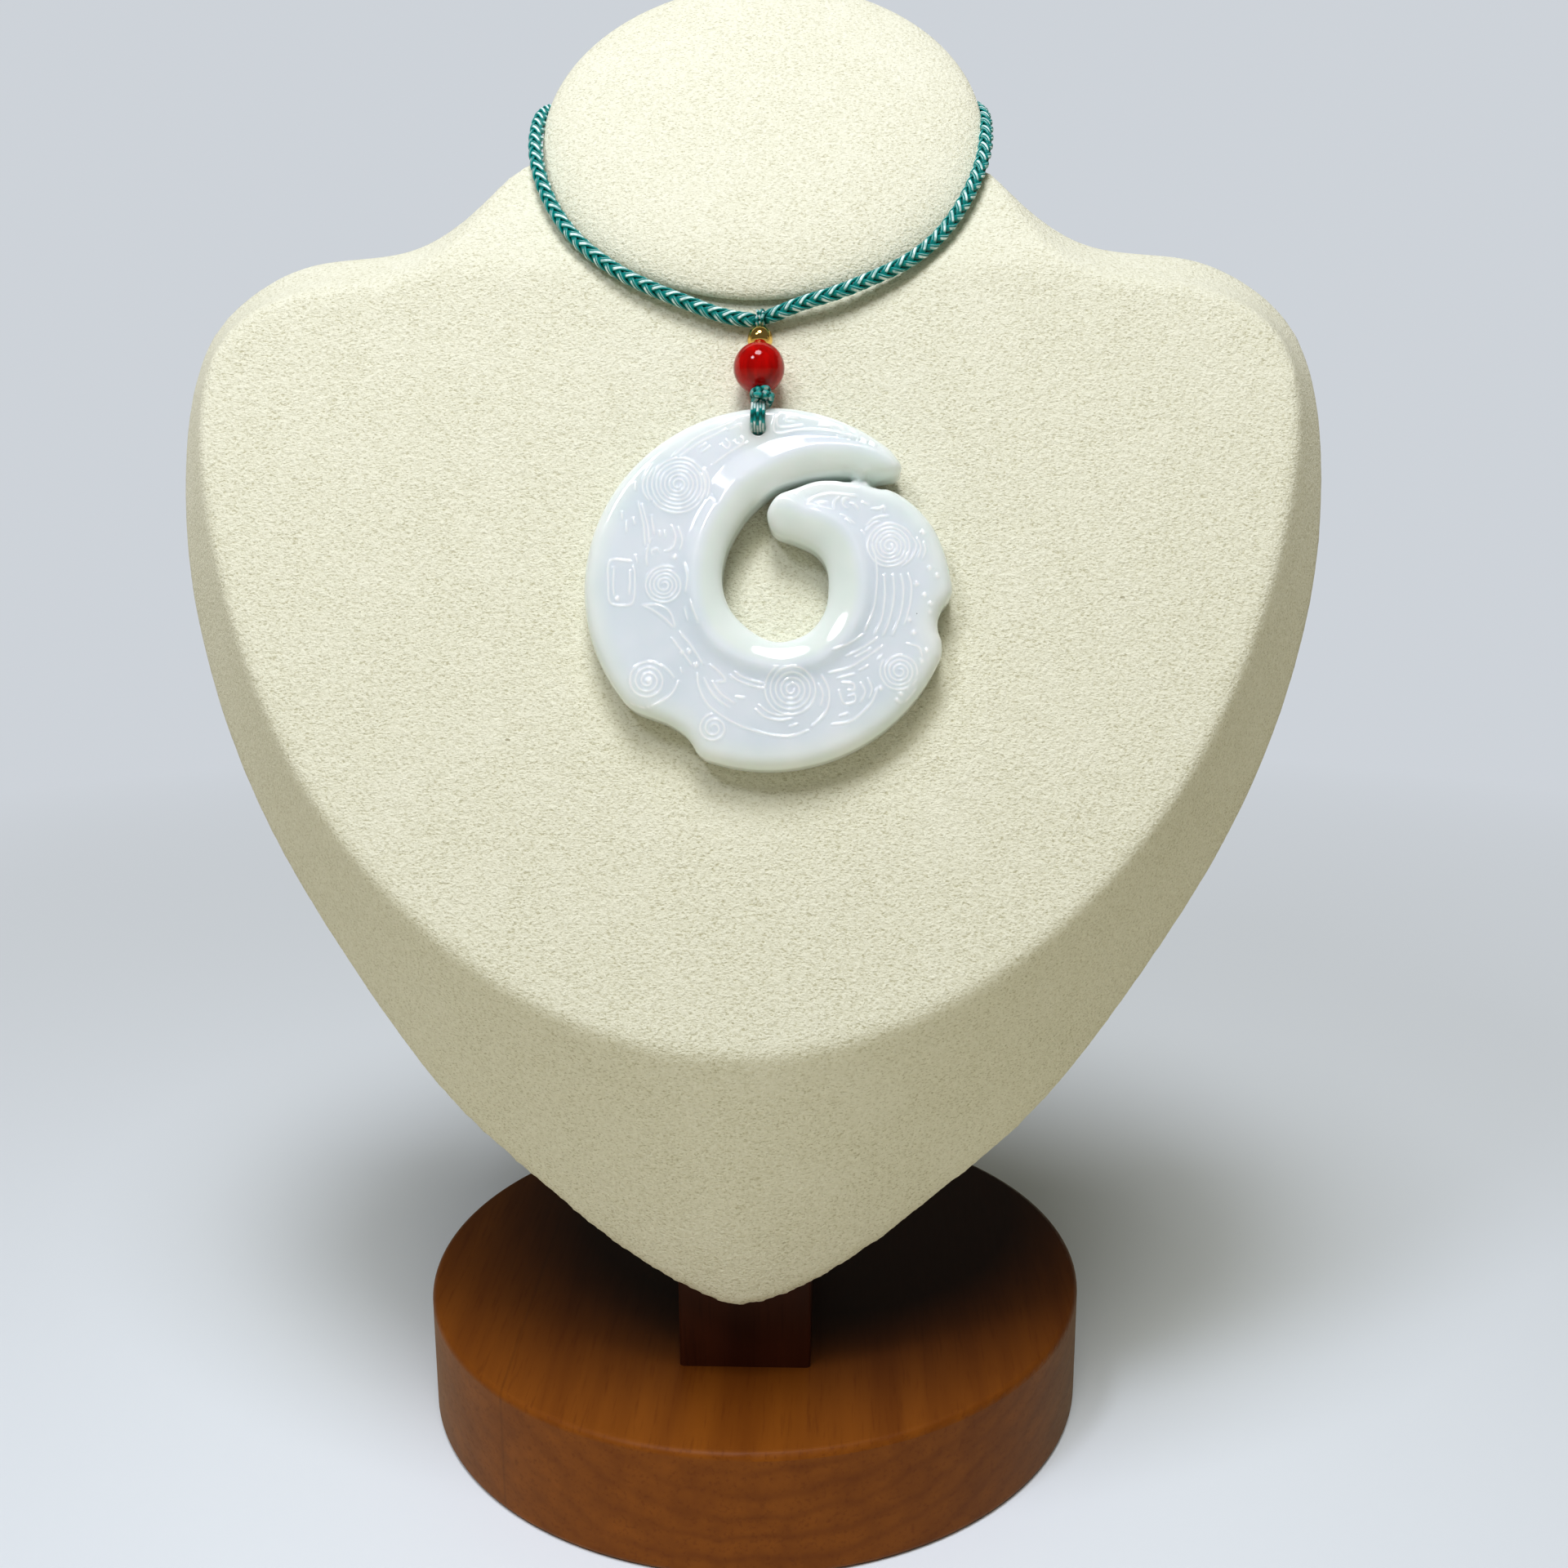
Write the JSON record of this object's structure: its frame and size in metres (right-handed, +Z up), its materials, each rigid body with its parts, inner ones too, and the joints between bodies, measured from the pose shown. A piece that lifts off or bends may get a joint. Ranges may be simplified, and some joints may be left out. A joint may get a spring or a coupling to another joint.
{
  "type": "hook-dragon pendant necklace on a neck bust stand",
  "caption": "Round carved jade pendant, a curled open ring, on a braided cord with beads, resting on a padded neck bust with a wooden post and round base.",
  "frame": {"origin": "middle of the round base's underside, where the stand rests", "axes": "+Z up, -Y towards the front of the bust, +X to the right of a viewer who faces it"},
  "size_m": [0.1874, 0.12, 0.2522],
  "materials": {
    "stained_wood": "satin reddish brown stain",
    "cream_velvet": "matt cream microsuede",
    "teal_braid": "silky round braid",
    "teal_thread": "silky thread",
    "gold_metal": "polished gold colour",
    "red_glass": "polished clear red",
    "white_jade": "polished milky white"
  },
  "bodies": {
    "root": {"wood_base": "stained_wood", "wood_post": "stained_wood", "neck_bust": "cream_velvet", "neck_cord": "teal_braid", "nape_knot": "teal_braid", "cord_whipping": "teal_thread", "bead_thread": "teal_thread", "loop_knot": "teal_thread", "hanging_loop": "teal_thread", "gold_bead": "gold_metal", "red_bead": "red_glass", "jade_pendant": "white_jade"}
  },
  "joints": []
}
